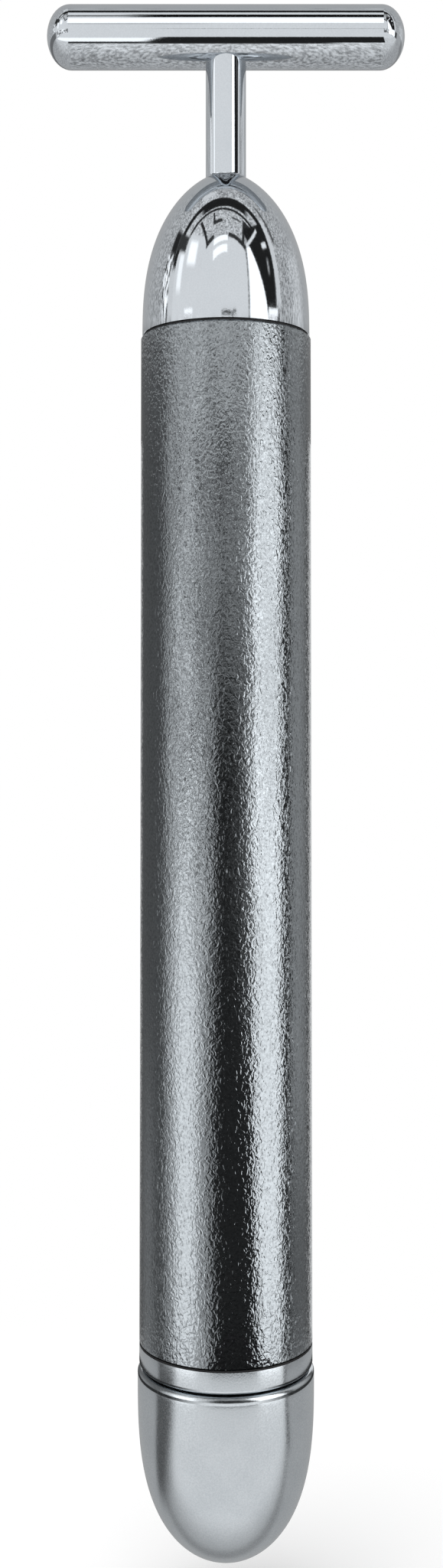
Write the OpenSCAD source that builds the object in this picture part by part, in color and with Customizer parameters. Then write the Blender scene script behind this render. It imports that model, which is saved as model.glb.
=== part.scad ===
// Vibrating beauty bar: a T-shaped chrome head on a slim metal handle that holds one AA cell,
// an eccentric-weight motor under the head, and a screw-on end cap that is also the switch.
// Millimetres. Z runs along the handle, X along the T bar. The origin is the tip of the end cap.

/* [Cell] */
// Diameter of the AA cell over its wrap
cell_d = 14.2; // [13.8:0.1:14.5]
// Length of the AA cell from its flat contact to the top of its button
cell_len = 50.5; // [49:0.1:51]
// Diameter of the cell's raised button
cell_button_d = 5.5; // [4:0.1:5.8]
// How far the button stands out of the cell's end
cell_button_h = 1.2; // [1:0.1:1.8]
// Free space around the cell in its compartment
cell_clear = 0.2; // [0.15:0.05:0.3]

/* [Handle] */
// Length of the outer sleeve
sleeve_len = 98.9; // [96:0.1:125]
// Wall of the outer sleeve
sleeve_wall = 0.6; // [0.5:0.05:1.2]
// Chamfer on both ends of the outer sleeve
sleeve_chamfer = 0.15; // [0.05:0.05:0.3]
// Wall of the plastic liner
liner_wall = 0.55; // [0.5:0.05:0.8]
// Space between pieces that are pushed or glued together
seat_gap = 0.05; // [0.03:0.01:0.08]

/* [Collar] */
// Height of the ring that shows below the sleeve
collar_h = 2.2; // [1.6:0.1:4]
// Rounding of the ring's lower edge
collar_round = 0.6; // [0.2:0.05:0.65]
// Length of the skirt that goes up inside the sleeve
collar_skirt = 6; // [4:0.5:10]
// Wall of the threaded neck below the root of its thread
neck_wall = 0.4; // [0.35:0.05:0.6]
// Length of the threaded neck
neck_len = 6.8; // [6:0.1:7]

/* [Thread] */
// Pitch of the single-start thread between collar and cap
thread_pitch = 1.5; // [1.4:0.1:1.6]
// Depth of each ridge
thread_depth = 0.35; // [0.25:0.05:0.4]
// Width of a ridge where it leaves the wall
ridge_root_w = 0.75; // [0.6:0.05:0.8]
// Width of a ridge at its crest
ridge_crest_w = 0.35; // [0.2:0.05:0.4]
// Space between a crest and the wall that it faces
thread_clear = 0.1; // [0.08:0.01:0.15]
// Thickness of the rubber ring that seals the cap
seal_section = 0.5; // [0.4:0.05:0.5]

/* [End cap] */
// Length of the end cap from its tip to its rim
cap_len = 18.4; // [17.5:0.1:22]
// Wall of the end cap around its thread
cap_wall = 0.5; // [0.45:0.05:1]
// Gap that shows between the cap's rim and the collar
cap_gap = 0.35; // [0.2:0.05:0.6]
// Rounding of the cap's rim
cap_round = 0.4; // [0.1:0.05:0.4]
// Exponent that fills out the cap's outline along its length
cap_fullness = 3.03; // [2.6:0.01:3.6]
// Exponent that rounds the cap's outline across its width
cap_roundness = 2.04; // [1.9:0.01:2.4]
// Depth of metal left under the seat of the contact plate
cap_seat_z = 5.5; // [5:0.1:7]
// Diameter of the seat of the contact plate
cap_seat_d = 11.6; // [10:0.1:12]

/* [Cap spring] */
// Thickness of the plate that carries the spring
plate_t = 0.4; // [0.3:0.05:0.6]
// Length of the spring between the plate and the cell
spring_len = 4.5; // [4.2:0.1:5.5]
// Thickness of the spring's wire
wire_d = 0.6; // [0.4:0.05:0.7]
// Outer diameter of the spring's lowest curl
spring_base_d = 9.6; // [8:0.1:9.8]
// Outer diameter of the spring's highest curl
spring_top_d = 5.4; // [4.5:0.1:6.5]
// Number of curls
spring_curls = 3.5; // [2.5:0.5:3.5]

/* [Head] */
// How far the dome steps in from the sleeve
dome_step = 0.13; // [0.05:0.01:0.4]
// Height at which the dome's outline would close
dome_h = 16.6; // [15:0.1:20]
// Exponent that fills out the dome's outline along its height
dome_fullness = 2.575; // [2.2:0.005:3]
// Exponent that rounds the dome's outline across its width
dome_roundness = 1.637; // [1.5:0.001:2]
// Wall of the dome
dome_wall = 2; // [1.6:0.1:2.4]
// Thickness of the black sealing washer between dome and sleeve
gasket_t = 0.25; // [0.15:0.05:0.5]
// Length of the spigot that goes down into the sleeve
spigot_len = 8; // [7:0.5:12]
// Wall of the spigot
spigot_wall = 2.2; // [2.2:0.1:2.4]
// Diameter of the neck
stem_d = 4.05; // [3.5:0.05:5]
// Fillet where the neck leaves the dome
stem_fillet = 0.4; // [0.2:0.05:0.8]
// Height of the T bar's centre line above the sleeve
bar_rise = 30.7; // [28:0.1:40]
// Diameter of the T bar
bar_d = 6.3; // [5.5:0.1:8]
// Length of the T bar
bar_len = 36.1; // [30:0.1:45]
// How far each rounded end of the T bar bulges
bar_bulge = 2.4; // [1.5:0.1:3]

/* [Motor] */
// Diameter of the motor across its round sides
motor_d = 12; // [11.4:0.1:12.2]
// Thickness of the motor across its flats
motor_flat = 10; // [9.8:0.1:10.1]
// Length of the motor without its bearing
motor_len = 15; // [14.5:0.1:16]
// Thickness of the motor's steel can
can_wall = 0.5; // [0.4:0.05:0.55]
// Diameter of the motor's shaft
shaft_d = 1.5; // [1.2:0.1:1.7]
// Running space between shaft and bearing
bearing_clear = 0.03; // [0.02:0.01:0.06]
// Diameter of the magnets' bore
magnet_bore = 8.7; // [8.6:0.1:9]
// Air gap between the magnets and the armature
air_gap = 0.4; // [0.3:0.05:0.5]
// Radius of the half-round eccentric weight
weight_r = 4.2; // [3:0.1:4.8]
// Length of the eccentric weight
weight_len = 5; // [3:0.5:6]

/* [Motor holder and wiring] */
// Length of the skirt that stands on the liner, below the motor
holder_skirt = 3.5; // [3:0.1:5]
// Thickness of the ledge that carries the motor
holder_ledge = 0.8; // [0.6:0.1:1.2]
// Thickness of the flange that is screwed to the head
holder_flange = 1.5; // [1.2:0.1:2.5]
// Wall of the holder beside the motor's flats
holder_wall = 0.5; // [0.4:0.05:0.55]
// Diameter of the two screws
screw_d = 1.4; // [1.2:0.05:1.4]
// Diameter of the screws' heads
screw_head_d = 2.2; // [1.9:0.05:2.2]
// Depth of the screws in the head
screw_grip = 5; // [3:0.5:5.5]
// Thickness of the disc that carries the contacts
carrier_t = 2.5; // [2:0.1:4]
// Width of the brass strip that brings the current up from the collar
strip_w = 3; // [2:0.1:4]
// Thickness of the brass strip
strip_t = 0.2; // [0.15:0.01:0.25]
// Diameter of the two insulated leads
lead_d = 1.1; // [0.8:0.05:1.3]

/* [Hidden] */

// How finely round surfaces, outlines and threads are drawn
round_sides = 96;
outline_steps = 26;
thread_sides = 40;
lead_sides = 8;
lead_rings = 24;
curl_rings = 14;
wire_sides = 8;
eps = 0.01;

// Radii, from the cell outwards
cell_r = cell_d / 2;
bore_r = cell_r + cell_clear;
liner_r = bore_r + liner_wall;
sleeve_bore_r = liner_r + seat_gap;
sleeve_r = sleeve_bore_r + sleeve_wall;
neck_r = bore_r + neck_wall;
male_crest_r = neck_r + thread_depth;
cap_bore_r = male_crest_r + thread_clear;
female_crest_r = cap_bore_r - thread_depth;
cap_r = cap_bore_r + cap_wall;
dome_r = sleeve_r - dome_step;
stem_r = stem_d / 2;
bar_r = bar_d / 2;

// Heights, from the tip upwards
collar_z = cap_len + cap_gap;
sleeve_z = collar_z + collar_h;
sleeve_top = sleeve_z + sleeve_len;
dome_z = sleeve_top + gasket_t;
bar_z = sleeve_top + bar_rise;
neck_z = collar_z - neck_len;
skirt_top = sleeve_z + collar_skirt;
cell_z = cap_seat_z + plate_t + spring_len + seat_gap;
cell_top = cell_z + cell_len;
contact_z = cell_top + seat_gap;
contact_head_h = 0.9;
carrier_z = contact_z + contact_head_h;
carrier_top = carrier_z + carrier_t;
spigot_z = sleeve_top - spigot_len;

// The motor stands on the holder's ledge, its front a little below the spigot
front_gap = 0.85;
motor_z = spigot_z - front_gap - motor_len;
motor_top = motor_z + motor_len;
holder_z = motor_z - holder_skirt;
flange_z = spigot_z - holder_flange;

// Seal, in a groove between the neck's thread and the collar's ring
seal_drop = 0.3;
seal_r = seal_section / 2;
seal_groove_r = cap_bore_r - seat_gap - seal_section;
seal_z = collar_z - seal_drop - seal_r - seat_gap;
seal_groove_h = seal_section + 2 * seat_gap;

// Threads: both ridges keep the same helix, half a pitch apart
thread_end_gap = 0.15;
thread_low = neck_z + thread_end_gap + ridge_root_w / 2;
thread_high = seal_z - seal_groove_h / 2 - thread_end_gap - ridge_root_w / 2;
thread_turns = (thread_high - thread_low) / thread_pitch;
female_lead_in = 0.5;

// Cap interior
cap_mouth_z = neck_z - 0.4;
cap_waist_r = bore_r + 0.15;
cap_waist_z = cell_z - 0.6;

// Motor interior, measured up from the motor's rear face
bell_t = 1.2;
plug_t = 1.3;
shell_gap = 0.05;
armature_r = magnet_bore / 2 - air_gap;
core_from = 5.6;
core_len = 7;
hub_r = shaft_d / 2 + 0.75;
tooth_w = 1.3;
shoe_t = 0.7;
coil_t = 0.6;
commutator_from = bell_t + plug_t + 0.4;
commutator_len = 1.8;
commutator_r = 1.6;
bush_r = 1.75;
front_bush_len = 1.9;
front_bush_rise = 0.8;
rear_bush_len = 2;
weight_gap = 0.8;
weight_z = motor_top + front_bush_rise + weight_gap;
shaft_proud = 0.6;

// Screws, beside the motor's flats
screw_r = screw_d / 2;
screw_head_r = screw_head_d / 2;
screw_head_h = 0.9;
screw_pos = liner_r - screw_head_r - seat_gap;
recess_y = motor_flat / 2 + seat_gap + holder_wall;

// Strip and leads
strip_r = liner_r - seat_gap - strip_t;
strip_angle = 2 * asin(strip_w / 2 / strip_r);
strip_low = skirt_top - 3;
tab_len = 3;
tab_gap_angle = 2;
terminal_x = 3.2;
terminal_len = 2.2;
terminal_w = 1.6;
terminal_t = 0.3;
lead_bow = 1.6;

// Outline of a closed end: radius at height h above its widest section
function shell_r(r, len, full, rnd, h) = r * pow(max(0, 1 - pow(h / len, full)), 1 / rnd);

// Steps that crowd towards the tip, where the outline turns fastest
function tip_share(i, n) = sin(90 * i / n);

// A ring or disc between two radii
module ring(r_out, r_in, z_low, z_high) {
  difference() {
    translate([0, 0, z_low])
      cylinder(h = z_high - z_low, r = r_out, $fn = round_sides);
    translate([0, 0, z_low - 1])
      cylinder(h = z_high - z_low + 2, r = r_in, $fn = round_sides);
  }
}

// A curved plate: part of a ring, centred on +Y
module ring_plate(r_out, r_in, angle, z_low, z_high) {
  translate([0, 0, z_low])
    rotate([0, 0, 90 - angle / 2])
      rotate_extrude(angle = angle, $fn = round_sides)
        translate([r_in, 0])
          square([r_out - r_in, z_high - z_low]);
}

// A right-hand helical ridge with a flat crest, swept as one closed body
module thread_ridge(buried_r, crest_r, z_low, turns, phase) {
  steps = ceil(turns * thread_sides);
  offsets = [-ridge_root_w / 2, -ridge_crest_w / 2, ridge_crest_w / 2, ridge_root_w / 2];
  radii = [buried_r, crest_r, crest_r, buried_r];
  points = [
    for (i = [0:steps])
      for (k = [0:3])
        let (a = phase + 360 * turns * i / steps)
          [radii[k] * cos(a), radii[k] * sin(a), z_low + thread_pitch * turns * i / steps + offsets[k]]
  ];
  inward = crest_r < buried_r;
  sides = [
    for (i = [0:steps - 1])
      for (k = [0:3])
        let (a = 4 * i + k, b = 4 * i + (k + 1) % 4)
          each [[a, b, b + 4], [a, b + 4, a + 4]]
  ];
  last = 4 * steps;
  ends = [[0, 2, 1], [0, 3, 2], [last, last + 1, last + 2], [last, last + 2, last + 3]];
  faces = concat(sides, ends);
  polyhedron(points = points, faces = inward ? [for (f = faces) [f[2], f[1], f[0]]] : faces);
}

// A round tube of even thickness along a list of points, its ends cut square or level
module tube_along(path, r, sides, level_ends = false) {
  n = len(path);
  ahead = [
    for (i = [0:n - 1])
      level_ends && (i == 0 || i == n - 1) ? [0, 0, 1] : path[min(i + 1, n - 1)] - path[max(i - 1, 0)]
  ];
  tangent = [for (v = ahead) v / norm(v)];
  across = [for (t = tangent) let (c = cross([0, 1, 0.001], t)) c / norm(c)];
  points = [
    for (i = [0:n - 1])
      for (k = [0:sides - 1])
        let (a = 360 * k / sides, up = cross(tangent[i], across[i]))
          path[i] + r * (cos(a) * across[i] + sin(a) * up)
  ];
  walls = [
    for (i = [0:n - 2])
      for (k = [0:sides - 1])
        let (a = i * sides + k, b = i * sides + (k + 1) % sides)
          each [[a, b + sides, b], [a, a + sides, b + sides]]
  ];
  first = [for (k = [0:sides - 1]) k];
  last = [for (k = [0:sides - 1]) (n - 1) * sides + sides - 1 - k];
  polyhedron(points = points, faces = concat(walls, [first, last]));
}

// Outline of the motor: a circle with two flats
module motor_outline(grow) {
  intersection() {
    circle(r = motor_d / 2 + grow, $fn = round_sides);
    square([motor_d + 2, motor_flat + 2 * grow], center = true);
  }
}

// Chrome-plated zinc casting: T bar, neck, dome and the spigot that goes into the sleeve
module t_head() {
  stem_join = dome_h * pow(1 - pow((stem_r + stem_fillet) / dome_r, dome_roundness), 1 / dome_fullness);
  outline = [
    for (i = [0:outline_steps])
      let (h = stem_join * tip_share(i, outline_steps))
        [shell_r(dome_r, dome_h, dome_fullness, dome_roundness, h), dome_z + h]
  ];
  fillet = [
    for (i = [1:6])
      let (a = 45 + 45 * i / 6)
        [stem_r + stem_fillet * (1 - sin(a)), dome_z + stem_join + stem_fillet * (1 - cos(a))]
  ];
  inner_h = dome_h - 2 * dome_wall;
  hollow_r = liner_r - spigot_wall;
  hollow = [
    for (i = [0:outline_steps - 1])
      let (h = inner_h * tip_share(i, outline_steps))
        [min(hollow_r, shell_r(dome_r - dome_wall, inner_h, dome_fullness, dome_roundness, h)), dome_z + h]
  ];
  color([0.8, 0.81, 0.83])
    difference() {
      union() {
        rotate_extrude($fn = round_sides)
          polygon(concat([[0, spigot_z], [liner_r, spigot_z], [liner_r, dome_z]],
            outline, fillet, [[stem_r, bar_z], [0, bar_z]]));
        t_bar();
      }
      rotate_extrude($fn = round_sides)
        polygon(concat([[0, spigot_z - 1], [hollow_r, spigot_z - 1]], hollow, [[0, dome_z + inner_h]]));
      for (side = [-1, 1])
        translate([0, side * screw_pos, spigot_z - 1])
          cylinder(h = screw_grip + 1, r = screw_r + eps, $fn = round_sides);
    }
}

// The bar across the top, a cylinder with bulged ends
module t_bar() {
  half = bar_len / 2;
  bulge = [
    for (i = [0:12])
      let (a = 90 * i / 12)
        [bar_r * cos(a), half - bar_bulge + bar_bulge * sin(a)]
  ];
  opposite = [for (i = [12:-1:0]) [bulge[i][0], -bulge[i][1]]];
  translate([0, 0, bar_z])
    rotate([0, 90, 0])
      rotate_extrude($fn = round_sides)
        polygon(concat(opposite, bulge));
}

// Thin black washer that seals the dome on the sleeve
module head_gasket() {
  color([0.05, 0.05, 0.06])
    ring(dome_r - sleeve_chamfer, liner_r + eps, sleeve_top, dome_z);
}

// Blasted and anodised aluminium sleeve, the part that the hand holds
module handle_sleeve() {
  c = sleeve_chamfer;
  color([0.36, 0.37, 0.39])
    rotate_extrude($fn = round_sides)
      polygon([
        [sleeve_bore_r, sleeve_z], [sleeve_r - c, sleeve_z], [sleeve_r, sleeve_z + c],
        [sleeve_r, sleeve_top - c], [sleeve_r - c, sleeve_top], [sleeve_bore_r, sleeve_top]
      ]);
}

// Plastic liner between collar and motor holder, grooved for the strip
module liner_tube() {
  color([0.12, 0.12, 0.13])
    difference() {
      ring(liner_r, bore_r, skirt_top, holder_z);
      ring_plate(liner_r + 1, strip_r - seat_gap, strip_angle + tab_gap_angle,
        skirt_top - 1, carrier_top + strip_t + seat_gap);
      ring_plate(liner_r + 1, bore_r - 1, strip_angle + tab_gap_angle,
        carrier_top - seat_gap, carrier_top + strip_t + seat_gap);
    }
}

// Chrome-plated brass collar: skirt in the sleeve, ring that shows, threaded neck for the cap
module threaded_collar() {
  rounding = [
    for (i = [0:6])
      let (a = 90 * i / 6)
        [sleeve_r - collar_round * (1 - sin(a)), collar_z + collar_round * (1 - cos(a))]
  ];
  color([0.76, 0.77, 0.79])
    difference() {
      union() {
        rotate_extrude($fn = round_sides)
          polygon(concat([[0, neck_z], [neck_r, neck_z], [neck_r, collar_z]],
            rounding, [[sleeve_r, sleeve_z], [liner_r, sleeve_z], [liner_r, skirt_top], [0, skirt_top]]));
        thread_ridge(neck_r - thread_clear, male_crest_r, thread_low, thread_turns, 0);
      }
      translate([0, 0, neck_z - 1])
        cylinder(h = skirt_top - neck_z + 2, r = bore_r, $fn = round_sides);
      ring(sleeve_r + 1, seal_groove_r, seal_z - seal_groove_h / 2, seal_z + seal_groove_h / 2);
      ring_plate(liner_r + 1, strip_r - seat_gap, strip_angle + tab_gap_angle, strip_low, skirt_top + 1);
    }
}

// Black rubber ring in the neck's groove
module cap_seal_ring() {
  color([0.04, 0.04, 0.04])
    translate([0, 0, seal_z])
      rotate_extrude($fn = round_sides)
        translate([seal_groove_r + seal_r, 0])
          circle(r = seal_r, $fn = 32);
}

// Satin chrome end cap with its inner thread
module end_cap() {
  flank = [
    for (i = [outline_steps:-1:1])
      let (h = (cap_len - cap_round) * tip_share(i, outline_steps))
        [shell_r(cap_r, cap_len - cap_round, cap_fullness, cap_roundness, h), cap_len - cap_round - h]
  ];
  rim = [
    for (i = [0:6])
      let (a = 90 * i / 6)
        [cap_r - cap_round * (1 - cos(a)), cap_len - cap_round * (1 - sin(a))]
  ];
  seat_r = cap_seat_d / 2;
  color([0.74, 0.75, 0.77])
    difference() {
      union() {
        difference() {
          rotate_extrude($fn = round_sides)
            polygon(concat(flank, rim, [[0, cap_len]]));
          translate([0, 0, cap_mouth_z])
            cylinder(h = cap_len, r = cap_bore_r, $fn = round_sides);
        }
        thread_ridge(cap_bore_r + thread_clear, female_crest_r, thread_low + thread_pitch / 2,
          thread_turns - female_lead_in, 0);
      }
      translate([0, 0, cap_seat_z])
        cylinder(h = cap_len, r = seat_r, $fn = round_sides);
      translate([0, 0, cap_waist_z])
        cylinder(h = cap_mouth_z - cap_waist_z + eps, r = cap_waist_r, $fn = round_sides);
    }
}

// Nickel-plated plate pressed into the cap, with the dimple that centres the spring
module cap_contact_plate() {
  plate_r = cap_seat_d / 2 - eps;
  dimple_r = spring_base_d / 2 - wire_d - seat_gap;
  color([0.7, 0.69, 0.64])
    union() {
      translate([0, 0, cap_seat_z])
        cylinder(h = plate_t, r = plate_r, $fn = round_sides);
      translate([0, 0, cap_seat_z + plate_t])
        cylinder(h = wire_d / 2, r1 = dimple_r, r2 = dimple_r - wire_d / 2, $fn = round_sides);
    }
}

// Points along the wire of the cone-shaped spring
base_r = (spring_base_d - wire_d) / 2;
top_r = (spring_top_d - wire_d) / 2;
wire_low = cap_seat_z + plate_t + wire_d / 2;
wire_high = cap_seat_z + plate_t + spring_len - wire_d / 2;
spring_steps = round(spring_curls * curl_rings);
spring_path = [
  for (i = [0:spring_steps])
    let (s = i / spring_steps, a = 360 * spring_curls * s, r = base_r + (top_r - base_r) * s)
      [r * cos(a), r * sin(a), wire_low + (wire_high - wire_low) * s]
];
spring_self_gap = min([
  for (i = [0:spring_steps - curl_rings])
    norm(spring_path[i + curl_rings] - spring_path[i]) - wire_d
]);

// Spring that presses on the cell and carries its current
module cap_contact_spring() {
  echo("least gap of the spring to itself, mm", spring_self_gap);
  color([0.82, 0.82, 0.8])
    tube_along(spring_path, wire_d / 2, wire_sides);
}

// Heights and radii of the cell's own pieces, measured from its flat end
wrap_t = 0.1;
plate_proud = 0.4;
washer_t = 0.4;
shoulder = cell_len - cell_button_h - wrap_t;

// Steel can of the cell
module cell_can() {
  color([0.72, 0.72, 0.73])
    translate([0, 0, cell_z + plate_proud])
      cylinder(h = shoulder - washer_t - plate_proud, r = cell_r - wrap_t - eps, $fn = round_sides);
}

// Plain shrink wrap, turned in over both ends of the can
module cell_wrap() {
  color([0.16, 0.3, 0.24])
    difference() {
      ring(cell_r, cell_r - 1.2, cell_z + plate_proud - wrap_t, cell_z + shoulder + wrap_t);
      translate([0, 0, cell_z + plate_proud])
        cylinder(h = shoulder - plate_proud, r = cell_r - wrap_t, $fn = round_sides);
    }
}

// Insulating washer around the button
module cell_seal_washer() {
  color([0.85, 0.85, 0.82])
    ring(cell_r - wrap_t - eps, cell_button_d / 2 + seat_gap, cell_z + shoulder - washer_t, cell_z + shoulder);
}

// Raised positive button
module cell_positive_button() {
  r = cell_button_d / 2;
  low = cell_z + shoulder - washer_t;
  edge = 0.3;
  color([0.78, 0.78, 0.78])
    rotate_extrude($fn = round_sides)
      polygon([[0, low], [r, low], [r, cell_top - edge], [r - edge, cell_top], [0, cell_top]]);
}

// Flat negative contact
module cell_negative_plate() {
  color([0.78, 0.78, 0.78])
    translate([0, 0, cell_z])
      cylinder(h = plate_proud, r = cell_r - 1.2 - eps, $fn = round_sides);
}

// Plastic disc inside the liner that carries the positive contact and the strip's tab
rivet_r = 1.25;
module contact_carrier() {
  color([0.9, 0.88, 0.8])
    ring(bore_r - seat_gap, rivet_r + eps, carrier_z, carrier_top);
}

// Nickel-plated rivet: domed face for the button, flat pad for the red lead
pad_t = 0.4;
pad_r = 2;
module positive_contact() {
  head_r = cell_button_d / 2;
  low = carrier_z - contact_head_h;
  dome = [
    for (i = [0:8])
      let (a = 90 * i / 8)
        [head_r * sin(a), low + contact_head_h * 0.6 * (1 - cos(a))]
  ];
  color([0.8, 0.76, 0.6])
    rotate_extrude($fn = round_sides)
      polygon(concat(dome, [
        [head_r, carrier_z], [rivet_r, carrier_z], [rivet_r, carrier_top],
        [pad_r, carrier_top], [pad_r, carrier_top + pad_t], [0, carrier_top + pad_t]
      ]));
}

// Brass strip from the collar up the liner's groove, with a tab turned in over the carrier
module negative_strip() {
  color([0.8, 0.64, 0.3])
    union() {
      ring_plate(strip_r + strip_t, strip_r, strip_angle, strip_low, carrier_top + strip_t);
      ring_plate(strip_r + eps, bore_r - tab_len, strip_angle, carrier_top, carrier_top + strip_t);
    }
}

// A lead's route from a pad to a motor terminal, upright at both ends
function smooth(s) = s * s * (3 - 2 * s);
function lead_path(from, to, bow) = [
  for (i = [0:lead_rings])
    let (s = i / lead_rings, swing = pow(sin(180 * s), 2))
      [
        from[0] + (to[0] - from[0]) * smooth(s) + bow[0] * swing,
        from[1] + (to[1] - from[1]) * smooth(s) + bow[1] * swing,
        from[2] + (to[2] - from[2]) * s
      ]
];
lead_top = motor_z - terminal_len;

// Red lead, from the rivet's pad to one terminal
module red_lead() {
  color([0.7, 0.07, 0.06])
    tube_along(lead_path([0, 0, carrier_top + pad_t], [terminal_x, 0, lead_top], [lead_bow, -lead_bow]),
      lead_d / 2, lead_sides, level_ends = true);
}

// Black lead, from the strip's tab to the other terminal
module black_lead() {
  tab_mid = bore_r - tab_len / 2;
  color([0.06, 0.06, 0.07])
    tube_along(lead_path([0, tab_mid, carrier_top + strip_t], [-terminal_x, 0, lead_top], [-lead_bow, lead_bow]),
      lead_d / 2, lead_sides, level_ends = true);
}

// Moulded holder: skirt on the liner, ledge under the motor, pocket, and a flange for the screws
module motor_holder() {
  pocket_gap = seat_gap;
  ledge_r = motor_flat / 2 - 0.6;
  color([0.15, 0.16, 0.18])
    difference() {
      translate([0, 0, holder_z])
        cylinder(h = spigot_z - holder_z, r = liner_r, $fn = round_sides);
      translate([0, 0, motor_z])
        linear_extrude(height = motor_len + holder_flange + 2)
          motor_outline(pocket_gap);
      translate([0, 0, holder_z - 1])
        cylinder(h = holder_skirt - holder_ledge + 1, r = bore_r, $fn = round_sides);
      translate([0, 0, holder_z])
        cylinder(h = holder_skirt + 1, r = ledge_r, $fn = round_sides);
      for (side = [-1, 1]) {
        translate([-liner_r, side > 0 ? recess_y : -recess_y - liner_r, motor_z])
          cube([2 * liner_r, liner_r, flange_z - motor_z]);
        translate([0, side * screw_pos, flange_z - 1])
          cylinder(h = holder_flange + 2, r = screw_r + seat_gap, $fn = round_sides);
      }
    }
}

// Two small screws, from under the flange up into the head
module holder_screws() {
  slot_w = 0.3;
  color([0.62, 0.62, 0.64])
    for (side = [-1, 1])
      translate([0, side * screw_pos, flange_z])
        difference() {
          union() {
            translate([0, 0, -screw_head_h])
              cylinder(h = screw_head_h, r = screw_head_r, $fn = round_sides);
            translate([0, 0, -eps])
              cylinder(h = holder_flange + screw_grip - seat_gap, r = screw_r, $fn = round_sides);
          }
          translate([-screw_head_r, -slot_w / 2, -screw_head_h - 1])
            cube([screw_head_d, slot_w, 1.4]);
        }
}

// Drawn steel can of the motor, with a hole for the front bearing
module motor_can() {
  depth = motor_len - bell_t;
  color([0.66, 0.67, 0.68])
    translate([0, 0, motor_z + bell_t])
      difference() {
        linear_extrude(height = depth)
          motor_outline(0);
        translate([0, 0, -1])
          linear_extrude(height = depth - can_wall + 1)
            motor_outline(-can_wall);
        cylinder(h = depth + 1, r = bush_r + eps, $fn = round_sides);
      }
}

// Plastic end bell that closes the can and carries the brushes
module motor_end_bell() {
  color([0.92, 0.92, 0.9])
    translate([0, 0, motor_z])
      difference() {
        union() {
          linear_extrude(height = bell_t)
            motor_outline(0);
          linear_extrude(height = bell_t + plug_t)
            motor_outline(-can_wall - shell_gap);
        }
        translate([0, 0, -1])
          cylinder(h = rear_bush_len + 1, r = bush_r + eps, $fn = round_sides);
        translate([0, 0, -1])
          cylinder(h = bell_t + plug_t + 2, r = shaft_d / 2 + 0.3, $fn = round_sides);
        for (side = [-1, 1])
          translate([side * terminal_x, 0, bell_t])
            cube([terminal_t + 2 * eps, terminal_w + 2 * eps, 2 * (bell_t + plug_t) + 2], center = true);
      }
}

// Two sintered bronze bushes, front and rear
module motor_bearings() {
  running_r = shaft_d / 2 + bearing_clear;
  front_low = motor_top + front_bush_rise - front_bush_len;
  color([0.7, 0.5, 0.26]) {
    ring(bush_r, running_r, motor_z, motor_z + rear_bush_len);
    ring(bush_r, running_r, front_low, front_low + front_bush_len);
  }
}

// Two arc magnets glued to the round sides of the can
module motor_magnets() {
  magnet_angle = 96;
  magnet_len = core_len + 1.6;
  low = motor_z + core_from - 0.8;
  color([0.2, 0.2, 0.21])
    for (turn = [-90, 90])
      rotate([0, 0, turn])
        ring_plate(motor_d / 2 - can_wall - eps, magnet_bore / 2, magnet_angle, low, low + magnet_len);
}

// Two sprung brushes, each one piece with its terminal
module motor_brushes() {
  leaf_t = 0.2;
  leaf_w = 1.2;
  brush_z = bell_t + plug_t;
  leaf_x = commutator_r + seat_gap;
  color([0.78, 0.58, 0.32])
    for (side = [0, 180])
      rotate([0, 0, side])
        translate([0, 0, motor_z]) {
          translate([terminal_x - terminal_t / 2, -terminal_w / 2, -terminal_len])
            cube([terminal_t, terminal_w, terminal_len + brush_z + leaf_t]);
          translate([leaf_x, -leaf_w / 2, brush_z])
            cube([terminal_x - leaf_x, leaf_w, leaf_t]);
          translate([leaf_x, -leaf_w / 2, brush_z])
            cube([leaf_t, leaf_w, commutator_from + commutator_len - brush_z]);
        }
}

// Steel shaft through both bearings, into the weight
module motor_shaft() {
  low = motor_z + 0.2;
  color([0.8, 0.8, 0.82])
    translate([0, 0, low])
      cylinder(h = weight_z + weight_len + shaft_proud - low, r = shaft_d / 2, $fn = round_sides);
}

// Three-pole laminated core, drawn as one flat stamping and stacked to its height
module armature_core() {
  shoe_half = 46;
  reach = armature_r + 1;
  color([0.42, 0.43, 0.45])
    translate([0, 0, motor_z + core_from])
      linear_extrude(height = core_len)
        difference() {
          union() {
            circle(r = hub_r, $fn = round_sides);
            for (pole = [0:2])
              rotate([0, 0, 120 * pole]) {
                translate([-tooth_w / 2, 0])
                  square([tooth_w, armature_r - shoe_t / 2]);
                intersection() {
                  difference() {
                    circle(r = armature_r, $fn = round_sides);
                    circle(r = armature_r - shoe_t, $fn = round_sides);
                  }
                  polygon([[0, 0], [-reach * tan(shoe_half), reach], [reach * tan(shoe_half), reach]]);
                }
              }
          }
          circle(r = shaft_d / 2 + eps, $fn = round_sides);
        }
}

// Copper coil around each pole
module armature_windings() {
  outer_w = tooth_w + 2 * coil_t;
  inner_y = hub_r + seat_gap;
  shoe_inner_r = armature_r - shoe_t - seat_gap;
  outer_y = sqrt(pow(shoe_inner_r, 2) - pow(outer_w / 2, 2));
  depth = outer_y - inner_y;
  color([0.72, 0.36, 0.16])
    for (pole = [0:2])
      rotate([0, 0, 120 * pole])
        translate([0, inner_y + depth / 2, motor_z + core_from + core_len / 2])
          difference() {
            cube([outer_w, depth, core_len + 2 * coil_t], center = true);
            cube([tooth_w + 2 * eps, depth + 2, core_len + 2 * eps], center = true);
          }
}

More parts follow.
